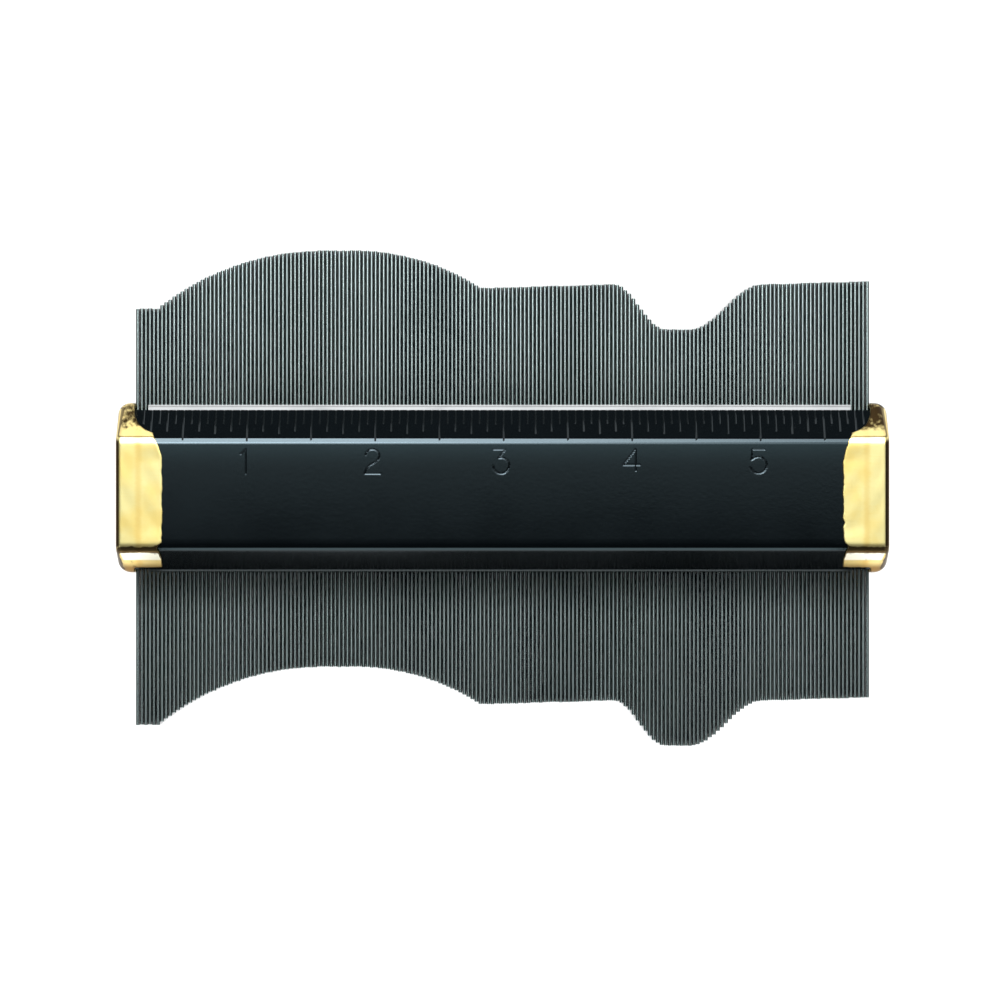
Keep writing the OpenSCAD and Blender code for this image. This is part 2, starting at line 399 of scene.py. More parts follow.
@dataclass(frozen=True)
class BrassPlate(Finish):
    """Bright brass plate with polishing lines; its dark brown bends and end edges, darker crease and
    plain-bevel foot are painted shade, and its plain-bevel glint is a painted highlight.
    """

    name = "brass_plate"
    middle: float
    pale: Colour = (0.83, 0.685, 0.305)
    warm: Colour = (0.81, 0.595, 0.195)
    # Painted shade: darker line along the crease in the flange
    crease_shade: Colour = (0.71, 0.47, 0.13)
    # Painted highlight: glint on the plain bevel
    glint_white: Colour = (1.0, 0.96, 0.80)
    gold: Colour = (0.95, 0.74, 0.31)
    # Painted shade: foot of the plain bevel
    tan: Colour = (0.30, 0.18, 0.06)
    # Painted shade: dark brown in the bends and on the rounded end edges
    shade_brown: Colour = (0.030, 0.011, 0.005)
    olive: Colour = (0.045, 0.026, 0.009)
    half_length: float = HALF_LENGTH
    crease: float = CREASE
    crease_width: Point = (0.1, 1.0)
    crown: Point = (11.0, 13.2)
    rightward: Point = (-9.0, 9.0)
    glint: Point = (-14.1, -13.8)
    foot: Point = (-15.6, -14.3)

    def surface(self, tree: Tree) -> dict[str, Any]:
        """Gives the shader's inputs.

        Args:
            tree: The material's tree.

        Returns:
            Values or links by name.
        """
        nx, ny, _ = tree.split(tree.node("ShaderNodeNewGeometry", None, None, "Normal"))
        cloud = tree.noise(160.0, 4.0)
        lines = tree.noise(1.0, 2.0, tree.stretched((160.0, 2600.0, 2600.0)))
        base = tree.mixed(cloud.ramp(0.35, 0.7), self.pale, self.warm)
        base = tree.mixed(lines.ramp(0.55, 0.8) * 0.25, base, self.warm)
        x, y, _ = tree.split(tree.place)
        along = self.half_length * MM - abs(x)
        # Painted shade: a darker line along the crease
        crease = 1 - abs(along - self.crease * MM + (lines - 0.5) * 0.6 * MM).over(self.crease_width)
        base = tree.mixed(crease * (0.25 + cloud * 0.6), base, self.crease_shade)
        up = y - self.middle * MM
        fine = tree.noise(1300.0, 2.0, tree.stretched((1.0, 0.7, 0.7)))
        coarse = tree.noise(620.0, 3.0)
        bevel = ny.ramp(0.60, 0.66)
        upper = up.over(self.crown)
        right = x.over(self.rightward)
        blotch = upper * (0.28 + coarse.ramp(0.38, 0.62) * 0.40 + right * 0.38) + (fine - 0.5) * 1.15
        base = tree.mixed(bevel * 0.6, base, self.gold)
        base = tree.mixed(bevel * blotch.ramp(0.08, 0.80), base, self.olive)
        # Painted shade: a dark brown line between the rule bend's highlight and the crown bevel
        base = tree.mixed(ny.ramp(0.50, 0.55) * (1 - ny.ramp(0.64, 0.675)) * 0.75, base, self.shade_brown)
        # Noise that wobbles the edges of the painted shade band at the plain bend
        band_wobble = (coarse - 0.5) * 0.35
        low = 0 - ny
        plain = low.ramp(0.72, 0.78)
        # Painted highlight: a near-white glint on the upper part of the plain bevel
        glint = up.over(self.glint) * (1 - abs(nx).ramp(0.1, 0.3))
        base = tree.mixed(plain * glint, base, self.glint_white)
        # Painted shade: darker tan at the foot of the plain bevel
        base = tree.mixed(plain * (1 - up.over(self.foot)), base, self.tan)
        # Painted shade: dark brown round the plain bend and on the rounded end edges, not on the flat end
        # face
        bend = (low + band_wobble).ramp(0.22, 0.32) * (1 - (low + band_wobble * 0.4).ramp(0.74, 0.79))
        end = (abs(nx) + right * 0.16).ramp(0.28, 0.48) * (1 - abs(nx).ramp(0.975, 0.995))
        end = end * (1 - abs(ny).ramp(0.15, 0.45))
        base = tree.mixed(bend * 0.92, base, self.shade_brown)
        base = tree.mixed(end * 0.95, base, self.shade_brown)
        return {
            "Base Color": base,
            "Metallic": 1.0,
            "Roughness": 0.32 + cloud * 0.06 + lines * 0.04,
            "Normal": tree.bump(lines + cloud, 0.00002, 0.15),
        }


@dataclass(frozen=True)
class PinSteel(Finish):
    """Drawn spring-steel wire: each pin has its own tone, with oil stains and drawing lines, painted shade
    on its sides and painted shadow next to the body; the lower pins are lightened a little as painted
    light.
    """

    name = "pin_steel"
    first: float
    pitch: float
    bright: Colour = (0.71, 0.79, 0.77)
    stained: Colour = (0.33, 0.39, 0.38)
    # Painted shade: the colour towards each pin's sides
    side_shade: Colour = (0.005, 0.034, 0.036)
    lower: Point = (-22.0, -6.0)
    middle: Point = (-2.0, 2.0)
    lower_shade: Point = (-24.5, -15.0)
    upper_shade: Point = (16.0, 28.0)

    def surface(self, tree: Tree) -> dict[str, Any]:
        """Gives the shader's inputs.

        Args:
            tree: The material's tree.

        Returns:
            Values or links by name.
        """
        x, y, _ = tree.split(tree.place)
        number = ((x - self.first) / self.pitch + 0.5).floor()
        tone = tree.node("ShaderNodeTexWhiteNoise", {"noise_dimensions": "1D"}, {"W": number})
        lines = tree.noise(1.0, 2.0, tree.stretched((9000.0, 90.0, 9000.0)))
        stain = tree.noise(70.0, 4.0).ramp(0.52, 0.72)
        # Pins below the body: a little more stained, and lightened by 9% as painted light
        lower = 1 - y.over(self.lower)
        share = tone * 0.25 + stain * 0.25 + lower * 0.04
        base = tree.mixed(share, self.bright, self.stained)
        base = tree.dimmed(base, 0.86 + lines * 0.28 + lower * 0.09)
        # Painted shadow: pins darken just below the body, and a little just above it
        above = y.over(self.middle)
        near = y.over(self.lower_shade) * (1 - above) * 0.76
        near = near + (1 - y.over(self.upper_shade)) * above * 0.3
        base = tree.dimmed(base, 1 - near)
        nx, _, _ = tree.split(tree.node("ShaderNodeNewGeometry", None, None, "Normal"))
        # Painted shade: each pin darkens towards its sides
        base = tree.mixed(abs(nx).ramp(0.25, 0.70) * 0.96, base, self.side_shade)
        return {
            "Base Color": base,
            "Metallic": 1.0,
            "Roughness": 0.22 + tone * 0.05 + lines * 0.04,
        }


@dataclass(frozen=True)
class StripPlastic(Finish):
    """Off-white strip, grey where the pins have rubbed oil into it, greyer in its groove and nearly black
    towards the plain side.
    """

    name = "strip_plastic"
    clean: Colour = (0.30, 0.29, 0.285)
    dark_tone: Colour = (0.015, 0.022, 0.023)
    plain_side: Point = (-12.0, -8.0)

    def surface(self, tree: Tree) -> dict[str, Any]:
        """Gives the shader's inputs.

        Args:
            tree: The material's tree.

        Returns:
            Values or links by name.
        """
        cloud = tree.noise(1.0, 3.0, tree.stretched((90.0, 500.0, 500.0)))
        grain = tree.noise(3500.0, 2.0)
        groove = tree.node("ShaderNodeAttribute", {"attribute_name": "trace"}, None, "Fac")
        base = tree.mixed(cloud.ramp(0.45, 0.85) * 0.5, self.clean, self.dark_tone)
        # Greyer in the groove
        base = tree.mixed(groove * 0.3, base, self.dark_tone)
        _, y, _ = tree.split(tree.place)
        # Nearly black towards the plain side
        base = tree.mixed((1 - y.over(self.plain_side)) * 0.95, base, self.dark_tone)
        return {
            "Base Color": base,
            "Roughness": 0.5 + grain * 0.2,
            "Normal": tree.bump(grain, 0.00002, 0.2),
        }


@dataclass(frozen=True)
class InnerMetal(Finish):
    """Rolled steel strip with rolling lines and a little oil."""

    name: str
    clean: Colour
    oily: Colour
    roughness: float

    def surface(self, tree: Tree) -> dict[str, Any]:
        """Gives the shader's inputs.

        Args:
            tree: The material's tree.

        Returns:
            Values or links by name.
        """
        lines = tree.noise(1.0, 3.0, tree.stretched((40.0, 2200.0, 2200.0)))
        oil = tree.noise(140.0, 4.0).ramp(0.45, 0.70)
        base = tree.mixed(oil * 0.7 + lines * 0.3, self.clean, self.oily)
        return {
            "Base Color": base,
            "Metallic": 1.0,
            "Roughness": self.roughness + lines * 0.15,
            "Normal": tree.bump(lines, 0.00001, 0.3),
        }


@dataclass(frozen=True)
class BlockPlastic(Finish):
    """Grey moulded plastic with a fine grain."""

    name = "block_plastic"
    plain: Colour = (0.15, 0.15, 0.16)
    worn: Colour = (0.28, 0.28, 0.28)

    def surface(self, tree: Tree) -> dict[str, Any]:
        """Gives the shader's inputs.

        Args:
            tree: The material's tree.

        Returns:
            Values or links by name.
        """
        grain = tree.noise(2400.0, 2.0)
        cloud = tree.noise(200.0, 3.0)
        return {
            "Base Color": tree.mixed(cloud.ramp(0.4, 0.8), self.plain, self.worn),
            "Roughness": 0.45 + grain * 0.2,
            "Normal": tree.bump(grain, 0.00003, 0.3),
        }


@dataclass(frozen=True)
class PaleFloor(Finish):
    """Plain pale studio card."""

    name = "pale_floor"
    plain: Colour = (0.90, 0.90, 0.90)
    grey: Colour = (0.84, 0.84, 0.84)

    def surface(self, tree: Tree) -> dict[str, Any]:
        """Gives the shader's inputs.

        Args:
            tree: The material's tree.

        Returns:
            Values or links by name.
        """
        cloud = tree.noise(6.0, 2.0)
        return {
            "Base Color": tree.mixed(cloud, self.plain, self.grey),
            "Roughness": 0.9,
            "Specular IOR Level": 0.1,
        }


@dataclass
class Skin:
    """Vertices, faces and marks of a piece while it is being made, in mm."""

    points: list[np.ndarray] = field(default_factory=list)
    marks: list[np.ndarray] = field(default_factory=list)
    faces: list[tuple[int, ...]] = field(default_factory=list)
    count: int = 0

    def add(self, points: np.ndarray, marks: np.ndarray | None = None) -> np.ndarray:
        """Adds a grid of vertices.

        Args:
            points: Grid of places, rows by columns by 3.
            marks: Grid of marks from 0 to 1, none by default.

        Returns:
            Grid of the vertices' numbers.
        """
        rows, columns = points.shape[:2]
        first = self.count
        self.points.append(points.reshape(-1, 3))
        self.marks.append(np.zeros(rows * columns) if marks is None else marks.ravel())
        self.count += rows * columns
        return np.arange(first, self.count).reshape(rows, columns)

    def quads(self, first: np.ndarray, second: np.ndarray) -> None:
        """Joins two rows of vertices by quads.

        Args:
            first: Numbers of one row.
            second: Numbers of the next row, as many.
        """
        corners = zip(first[:-1], first[1:], second[1:], second[:-1])
        self.faces.extend(tuple(int(i) for i in c) for c in corners)

    def sheet(self, grid: np.ndarray) -> None:
        """Covers a grid of vertices with quads."""
        for upper, lower in zip(grid[:-1], grid[1:]):
            self.quads(upper, lower)

    def close(self, ring: np.ndarray) -> None:
        """Closes an end with one face."""
        self.faces.append(tuple(int(i) for i in ring))

    def tube(self, rows: np.ndarray, turned: bool) -> None:
        """Covers a ring of rows and closes both ends.

        Args:
            rows: Numbers of the vertices, round the section by along the tube.
            turned: Whether the rows run the other way round.
        """
        loop = np.vstack([rows, rows[:1]])
        if turned:
            loop = loop[::-1]
        self.sheet(loop)
        self.close(loop[:-1, 0])
        self.close(loop[-2::-1, -1])

    def piece(self, name: str, material: bpy.types.Material, crease: float = 35.0) -> bpy.types.Object:
        """Makes the object.

        Args:
            name: Name of the piece.
            material: Its finish.
            crease: Angle in degrees above which an edge stays sharp.

        Returns:
            The object, in metres.
        """
        mesh = bpy.data.meshes.new(name)
        mesh.from_pydata((np.vstack(self.points) * MM).tolist(), [], self.faces)
        mesh.validate()
        mark = mesh.attributes.new("trace", "FLOAT", "POINT")
        mark.data.foreach_set("value", np.concatenate(self.marks).astype(np.float32))
        mesh.polygons.foreach_set("use_smooth", [True] * len(mesh.polygons))
        mesh.set_sharp_from_angle(angle=math.radians(crease))
        ends = {key for face in mesh.polygons if len(face.vertices) > 4 for key in face.edge_keys}
        for edge in mesh.edges:
            edge.use_edge_sharp = edge.use_edge_sharp or edge.key in ends
        mesh.materials.append(material)
        made = bpy.data.objects.new(name, mesh)
        bpy.context.scene.collection.objects.link(made)
        return made


@dataclass(frozen=True)
class Line:
    """A straight face of the cross-section, as a unit normal and a distance from the middle."""

    ny: float
    nz: float
    reach: float

    def shifted(self, by: float) -> "Line":
        """The same face moved along its normal."""
        return Line(self.ny, self.nz, self.reach + by)

    def meet(self, other: "Line") -> Point:
        """Where two faces cross.

        Args:
            other: The other face.

        Returns:
            Y and Z of the corner.
        """
        det = self.ny * other.nz - self.nz * other.ny
        y = (self.reach * other.nz - self.nz * other.reach) / det
        z = (self.ny * other.reach - self.reach * other.ny) / det
        return y, z

    def angle(self) -> float:
        """Direction of the normal, in radians from +Y."""
        return math.atan2(self.nz, self.ny)


@dataclass(frozen=True)
class GaugeSection:
    """Cross-section that the pressings and the caps share, in mm from the middle plane."""

    centre_y: float
    middle_z: float
    edge: float = 15.9
    face: float = 7.45
    lip: float = 1.68
    bend_radius: float = 2.0
    rule_bevel: float = 6.2
    plain_bevel: float = 4.3
    cap_offset: float = 0.55

    def bevel(self, side: int, height: float) -> Line:
        """A bevel's outer face.

        Args:
            side: 1 for the rule side, -1 for the plain side.
            height: Height of the bevel along Y.

        Returns:
            The face.
        """
        fall = self.face - self.lip
        size = math.hypot(fall, height)
        ny, nz = side * fall / size, height / size
        return Line(ny, nz, ny * side * self.edge + nz * self.lip)

    def rule_line(self) -> Line:
        """Outer face of the graduated bevel."""
        return self.bevel(1, self.rule_bevel)

    def plain_line(self) -> Line:
        """Outer face of the plain bevel."""
        return self.bevel(-1, self.plain_bevel)

    def face_line(self) -> Line:
        """Outer face of the flat."""
        return Line(0.0, 1.0, self.face)

    def bend(self, bevel: Line) -> Point:
        """Centre of the bend between the flat and a bevel."""
        return self.face_line().shifted(-self.bend_radius).meet(bevel.shifted(-self.bend_radius))

    def placed(self, x: np.ndarray, y: np.ndarray, z: np.ndarray, face: Face = Face.FRONT) -> np.ndarray:
        """Puts section places into the gauge's frame.

        Args:
            x: Places along the gauge.
            y: Places across it, from its centre line.
            z: Levels from the middle plane.
            face: The side on which the piece lies.

        Returns:
            Places in mm, with a last axis of 3.
        """
        return np.stack([x, y + self.centre_y, z * face.value + self.middle_z], axis=-1)


@dataclass
class RuleMarks:
    """The inch rule on the graduated bevel and its numbers on the flat."""

    zero: float = -75.96
    sixteenth: float = INCH / 16
    half_width: float = 0.18
    depth: float = 0.085
    tick_end: float = 0.12
    stroke: float = 0.19
    stroke_depth: float = 0.095
    number_height: float = 4.81
    number_foot: float = 3.15
    reach: float = 73.0
    offsets: tuple[float, ...] = (-0.33, -0.55, -0.52, -0.05, -0.45)

    def ticks(self) -> list[Point]:
        """Places and lengths of the graduations.

        Returns:
            Pairs of X and length along Y from the edge.
        """
        lengths = {16: 6.35, 8: 6.2, 4: 5.0, 2: 4.5, 1: 2.95}
        found = []
        for n in range(1, 100):
            x = self.zero + n * self.sixteenth
            if abs(x) < self.reach:
                found.append((x, next(v for k, v in lengths.items() if n % k == 0)))
        return found

    def number_places(self) -> list[float]:
        """X of the middle of each number."""
        return [self.zero + INCH * (n + 1) + o for n, o in enumerate(self.offsets)]

    @staticmethod
    def bow(middle: float, radius: float, start: float, end: float) -> list[Point]:
        """A round part of a number, as a share of its height.

        Args:
            middle: Height of the arc's centre.
            radius: Its radius.
            start: Direction where it starts, in degrees.
            end: Direction where it ends.

        Returns:
            Points along it.
        """
        turn = np.radians(np.linspace(start, end, 15))
        return [(radius * math.cos(a), middle + radius * math.sin(a)) for a in turn]

    def strokes(self) -> list[np.ndarray]:
        """Centre lines of the numbers 1 to 5.

        Returns:
            One array of points for each stroke, from the flat's middle, in mm.
        """
        bow = self.bow
        shapes: list[list[list[Point]]] = [
            [[(-0.17, 0.80), (0.03, 1.0), (0.03, 0.0)]],
            [bow(0.72, 0.28, 170, -32) + [(0.09, 0.45), (-0.12, 0.33), (-0.25, 0.17), (-0.30, 0.0)]
             + [(0.31, 0.0)]],
            [[(-0.31, 0.99), (0.15, 0.99), (-0.10, 0.63)] + bow(0.32, 0.33, 104, -178)],
            [[(0.15, 0.12), (0.15, 1.0), (-0.36, 0.35), (0.31, 0.35)]],
            [[(0.24, 0.99), (-0.24, 0.99), (-0.29, 0.56)] + bow(0.34, 0.34, 135, -165)],
        ]
        lines = []
        for x, shape in zip(self.number_places(), shapes):
            for stroke in shape:
                points = np.array(stroke) * self.number_height
                lines.append(points + [x, self.number_foot])
        return lines

    def number_sink(self, x: np.ndarray, y: np.ndarray) -> np.ndarray:
        """Depth of the numbers' grooves.

        Args:
            x: Places along the gauge.
            y: Places across it, from the centre line.

        Returns:
            Depth at each place.
        """
        nearest = np.full(x.shape, 9.0)
        for line in self.strokes():
            for (ax, ay), (bx, by) in zip(line[:-1], line[1:]):
                dx, dy = bx - ax, by - ay
                t = np.clip(((x - ax) * dx + (y - ay) * dy) / (dx * dx + dy * dy), 0, 1)
                nearest = np.minimum(nearest, np.hypot(x - ax - t * dx, y - ay - t * dy))
        return self.stroke_depth * np.clip(1.25 - 1.25 * nearest / self.stroke, 0, 1)

    def tick_sink(self, x: np.ndarray, down: np.ndarray) -> np.ndarray:
        """Depth of the graduations.

        Args:
            x: Places along the gauge.
            down: Distances along Y from the edge of the rule.

        Returns:
            Depth at each place.
        """
        sink = np.zeros(x.shape)
        for place, length in self.ticks():
            across = np.clip(1 - np.abs(x - place) / self.half_width, 0, 1)
            along = np.clip((length - down) / self.tick_end, 0, 1)
            sink = np.maximum(sink, self.depth * across * along)
        return sink


@dataclass
class ChannelPressing:
    """One black pressed channel, with the rule if it is the front one."""

    section: GaugeSection
    face: Face
    half_length: float = 74.65
    sheet: float = 1.0
    bend_steps: int = 12
    inner_steps: int = 6
    edge_break: float = 0.08
    number_step: float = 0.1
    number_half: float = 2.05
    number_margin: float = 0.45
    number_room: float = 0.95
    plain_reach: float = 70.0
    plain_columns: int = 36
    marks: RuleMarks = field(default_factory=RuleMarks)

    def name(self) -> str:
        """The CAD node that this piece stands for."""
        return "front_channel" if self.face is Face.FRONT else "rear_channel"

    def columns(self) -> np.ndarray:
        """Places of the mesh's columns along X.

        Returns:
            Rising places.
        """
        marks = self.marks
        places = [-self.half_length, -self.half_length + self.edge_break]
        places += [self.half_length - self.edge_break, self.half_length]
        if self.face is Face.REAR:
            plain = np.linspace(-self.plain_reach, self.plain_reach, self.plain_columns)
            return np.array(sorted([*places, *plain]))
        for x, _ in marks.ticks():
            places += [x - marks.half_width, x, x + marks.half_width]
        held = np.array(places)
        for x in marks.number_places():
            for c in np.arange(x - self.number_half, x + self.number_half + 0.001, self.number_step):
                if np.abs(held - c).min() > self.number_step / 2:
                    places.append(float(c))
        return np.array(sorted(places))

    @staticmethod
    def straight(start: Point, end: Point, line: Line, shares: list[float], zone: Zone) -> list[Row]:
        """Rows on a straight face.

        Args:
            start: Y and Z where the face starts.
            end: Y and Z where it ends.
            line: The face.
            shares: Places of the rows between start and end.
            zone: The stretch they belong to.

        Returns:
            The rows.
        """
        a, b = np.array(start), np.array(end)
        return [(*(a + (b - a) * t), line.ny, line.nz, zone) for t in shares]

    def bent(self, centre: Point, start: float, end: float, zone: Zone) -> list[Row]:
        """Rows round a bend.

        Args:
            centre: Y and Z of its centre.
            start: Direction of the first normal, in radians from +Y.
            end: Direction of the last normal.
            zone: The stretch they belong to.

        Returns:
            The rows.
        """
        r = self.section.bend_radius
        turn = [(math.cos(a), math.sin(a)) for a in np.linspace(start, end, self.bend_steps + 1)]
        return [(centre[0] + r * c, centre[1] + r * s, c, s, zone) for c, s in turn]

    def outer_rows(self) -> list[Row]:
        """Rows of the outer skin from the plain lip to the rule lip.

        Returns:
            Y, Z, normal Y, normal Z and zone of each row.
        """
        s = self.section
        plain, rule = s.plain_line(), s.rule_line()
        level = Line(0.0, 1.0, s.lip)
        plain_bend, rule_bend = s.bend(plain), s.bend(rule)
        lip = plain.meet(level)
        top = (plain_bend[0] + s.bend_radius * plain.ny, plain_bend[1] + s.bend_radius * plain.nz)
        rows = self.straight(lip, top, plain, [0.0, 0.02, 0.3, 0.65, 0.95], Zone.PLAIN_BEVEL)
        rows += self.bent(plain_bend, plain.angle(), math.pi / 2, Zone.PLAIN_BEND)
        start, end = plain_bend[0], rule_bend[0]
        flat = [start + (end - start) * t for t in (0.05, 0.2, 0.4, 0.55)]
        if self.face is Face.FRONT:
            foot = self.marks.number_foot - self.number_margin
            flat = [y for y in flat if y < foot - 0.2]
            head = foot + self.marks.number_height + self.number_room
            flat += list(np.arange(foot, head, self.number_step))
        flat.append(end - 0.1)
        rows += [(y, s.face, 0.0, 1.0, Zone.FLAT) for y in flat]
        rows += self.bent(rule_bend, math.pi / 2, rule.angle(), Zone.RULE_BEND)
        lip = rule.meet(level)
        top = (rule_bend[0] + s.bend_radius * rule.ny, rule_bend[1] + s.bend_radius * rule.nz)
        shares = [0.03, 0.985, 1.0]
        for length in {length for _, length in self.marks.ticks()}:
            for more in (-self.marks.tick_end, 0.0, 0.06):
                shares.append((s.edge - length - more - top[0]) / (lip[0] - top[0]))
        return rows + self.straight(top, lip, rule, sorted(t for t in shares if t > 0.01), Zone.RULE_BEVEL)

    def inner_rows(self) -> list[Point]:
        """Rows of the inner skin from the rule lip to the plain lip.

        Returns:
            Y and Z of each row.
        """
        s = self.section
        level = Line(0.0, 1.0, s.lip)
        radius = s.bend_radius - self.sheet
        rows = [s.rule_line().shifted(-self.sheet).meet(level)]
        for line, start, end in (
            (s.rule_line(), s.rule_line().angle(), math.pi / 2),
            (s.plain_line(), math.pi / 2, s.plain_line().angle()),
        ):
            cy, cz = s.bend(line)
            turn = np.linspace(start, end, self.inner_steps)
            rows += [(cy + radius * math.cos(a), cz + radius * math.sin(a)) for a in turn]
        rows.append(s.plain_line().shifted(-self.sheet).meet(level))
        return rows

    def build(self, material: bpy.types.Material) -> bpy.types.Object:
        """Makes the piece.

        Args:
            material: Its finish.

        Returns:
            The piece, riding on the frame.
        """
        s = self.section
        xs = self.columns()
        rows = self.outer_rows()
        ys, zs, nys, nzs = (np.array([r[i] for r in rows])[:, None] for i in range(4))
        x = np.repeat(xs[None, :], len(rows), axis=0)
        y, z = np.broadcast_to(ys, x.shape), np.broadcast_to(zs, x.shape)
        sink = np.zeros(x.shape)
        if self.face is Face.FRONT:
            rule = np.array([r[4] in (Zone.RULE_BEVEL, Zone.RULE_BEND) for r in rows])[:, None]
            flat = np.array([r[4] is Zone.FLAT for r in rows])[:, None]
            sink = np.where(rule, self.marks.tick_sink(x, s.edge - y), 0.0)
            sink = np.where(flat, self.marks.number_sink(x, y), sink)
        trace = np.clip(sink / self.marks.depth, 0, 1)
        sink[0, :] += self.edge_break
        sink[-1, :] += self.edge_break
        skin = Skin()
        outer = skin.add(s.placed(x, y - sink * nys, z - sink * nzs, self.face), trace)
        inner_rows = np.array(self.inner_rows())
        x = np.repeat(xs[None, :], len(inner_rows), axis=0)
        y, z = (np.broadcast_to(inner_rows[:, i, None], x.shape) for i in (0, 1))
        inner = skin.add(s.placed(x, y, z, self.face))
        skin.tube(np.vstack([outer, inner]), self.face is Face.REAR)
        made = skin.piece(f"{self.name()}_pressing", material, 10.0)
        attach(made, BODY)
        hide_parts(self.name())
        return made


@dataclass(frozen=True)
class Corner:
    """A rounded corner of a cap's section."""

    y: float
    z: float
    radius: float
    edge: float


Station = tuple[Corner, Corner, float, float]


@dataclass
class EndCap:
    """A stamped and crimped brass cap."""

    section: GaugeSection
    hand: Hand
    phase: float
    nicks: tuple[Triple, ...]
    half_length: float = HALF_LENGTH
    sheet: float = 0.5
    length: float = 9.2
    end_width: float = 3.4
    edge_radius: float = 1.1
    crown_radius: float = 2.4
    heel_radius: float = 2.6
    crown_reach: float = 17.2209
    heel_reach: float = 16.45
    scoop_radius: float = 4.6
    scoop_step: float = 0.8
    scoop_turn: float = 260.0
    bulge_radius: float = 11.0
    bulge_turn: float = 32.0
    relief_radius: float = 1.2
    setback: float = 0.3
    foot: float = 0.5
    crease_depth: float = CREASE
    crease_half: float = 0.4
    crease_fall: float = 0.045
    dish: float = 0.012
    dish_fade: float = 3.5
    rim_break: float = 0.06
    rim_width: float = 0.14
    crimp_span: Point = (-13.5, 13.0)
    waves: tuple[Triple, ...] = ((0.07, 1.1, 1.0), (0.03, 2.9, 2.0))
    corner_steps: tuple[int, ...] = (7, 12, 12, 7)
    face_parts: tuple[int, ...] = (10, 64, 18)

    def name(self) -> str:
        """The CAD node that this piece stands for."""
        return f"{self.hand.name.lower()}_end_cap"

    def limit(self, y: float) -> float:
        """How far the cap reaches along the channels.

        Args:
            y: Triple across the gauge, from its centre line.

        Returns:
            Distance from the closed end.
        """
        edge = self.section.edge
        scoop_x = self.end_width + self.scoop_radius
        bulge_top = edge - self.scoop_radius - self.scoop_step
        turn, scoop = math.radians(self.bulge_turn), math.radians(self.scoop_turn)
        bulge_x, bulge_y = self.length - self.bulge_radius, bulge_top - self.bulge_radius * math.sin(turn)
        scoop_y = edge + self.scoop_radius * math.sin(scoop)
        relief_x, relief_y = self.length + self.relief_radius / 2, self.section.plain_bevel - edge
        if y >= edge:
            return self.end_width
        if y >= scoop_y:
            return scoop_x - math.sqrt(self.scoop_radius**2 - (edge - y) ** 2)
        if y >= bulge_top:
            low = scoop_x + self.scoop_radius * math.cos(scoop)
            high = bulge_x + self.bulge_radius * math.cos(turn)
            return low + (high - low) * (scoop_y - y) / (scoop_y - bulge_top)
        if y >= bulge_y:
            return bulge_x + math.sqrt(self.bulge_radius**2 - (y - bulge_y) ** 2)
        if abs(y - relief_y) < self.relief_radius:
            cut = relief_x - math.sqrt(self.relief_radius**2 - (y - relief_y) ** 2)
            return min(cut, self.length if y > relief_y else self.length - self.setback)
        if y > relief_y:
            return self.length
        if y >= self.foot - edge:
            return self.length - self.setback
        if y > -edge:
            return self.end_width + self.foot - math.sqrt(self.foot**2 - (y + edge) ** 2)
        return self.end_width

    def crimp(self, y: float) -> float:
        """Unevenness of the hand-pressed edge.

        Args:
            y: Triple across the gauge, from its centre line.

        Returns:
            Change of the cap's reach.
        """
        low, high = self.crimp_span
        if not low < y < high:
            return 0.0
        wave = sum(size * math.sin(rate * y + turns * self.phase) for size, rate, turns in self.waves)
        for place, width, depth in self.nicks:
            wave -= depth * math.exp(-(((y - place) / width) ** 2))
        return wave

    def corners(self, inset: float) -> list[Corner]:
        """Corners of the front half of the section.

        Args:
            inset: Distance of the skin from the outer one.

        Returns:
            Heel, plain bend, rule bend and crown.
        """
        s = self.section
        plain, rule = s.plain_line(), s.rule_line()
        bend = s.bend_radius + s.cap_offset
        base = Line(-1, 0, self.heel_reach - self.heel_radius)
        wall = Line(1, 0, self.crown_reach - self.crown_radius)
        heel = plain.shifted(s.cap_offset - self.heel_radius).meet(base)
        crown = rule.shifted(s.cap_offset - self.crown_radius).meet(wall)
        return [
            Corner(*heel, self.heel_radius - inset, self.heel_radius - inset),
            Corner(*s.bend(plain), bend - inset, self.edge_radius - inset),
            Corner(*s.bend(rule), bend - inset, self.edge_radius - inset),
            Corner(*crown, self.crown_radius - inset, self.crown_radius - inset),
        ]

    def stations(self, inset: float) -> list[Station]:
        """Places round the section, front half and then rear half.

        Args:
            inset: Distance of the skin from the outer one.

        Returns:
            Two corners, the share between them and the normal's direction.
        """
        s = self.section
        corners = self.corners(inset)
        angles = [math.pi, s.plain_line().angle(), math.pi / 2, s.rule_line().angle(), 0.0]
        half: list[Station] = []
        for n, corner in enumerate(corners):
            angle = angles[n + 1]
            turn = np.linspace(angles[n], angle, self.corner_steps[n])
            half += [(corner, corner, 0.0, float(a)) for a in turn]
            if n < len(self.face_parts):
                after = corners[n + 1]
                shares = self.shares(corner, after, angle, self.face_parts[n])
                half += [(corner, after, t, angle) for t in shares]
        rear = []
        for a, b, t, angle in reversed(half):
            turned = [Corner(c.y, -c.z, c.radius, c.edge) for c in (b, a)]
            rear.append((turned[0], turned[1], 1 - t, -angle))
        quarters = (0.25, 0.5, 0.75)
        wall = [(half[-1][0], rear[0][0], t, 0.0) for t in quarters]
        base = [(rear[-1][1], half[0][0], t, math.pi) for t in quarters]
        return half + wall + rear + base

